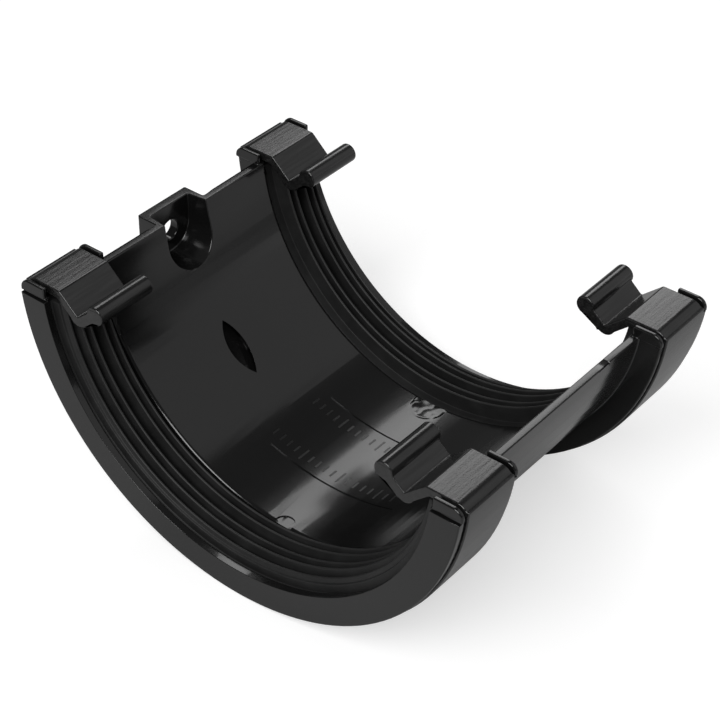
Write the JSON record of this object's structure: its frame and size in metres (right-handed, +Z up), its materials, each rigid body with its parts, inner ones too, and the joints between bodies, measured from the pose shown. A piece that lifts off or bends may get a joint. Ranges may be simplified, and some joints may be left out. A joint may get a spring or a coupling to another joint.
{
  "type": "gutter union",
  "caption": "Moulded half-round gutter union that joins two gutter ends, with ribbed rubber seals, snap-over straps with beaded tongues and a screw pocket at the back.",
  "frame": {"origin": "on the surface that the straps' lowest flats rest on, below the middle of the trough", "axes": "+Y along the gutter, from the end nearest the viewer to the far one; -X towards the fascia, where the screw pocket is; +Z up, out of the open side"},
  "size_m": [0.1312, 0.098, 0.0628],
  "materials": {
    "black_plastic": "injection-moulded black plastic, semi-gloss",
    "strap_plastic": "injection-moulded black plastic, fine satin grain",
    "seal_rubber": "soft black ribbed rubber"
  },
  "bodies": {
    "root": {"body": "black_plastic", "seal_near": "seal_rubber", "seal_far": "seal_rubber", "strap_near": "strap_plastic", "strap_far": "strap_plastic"}
  },
  "joints": []
}
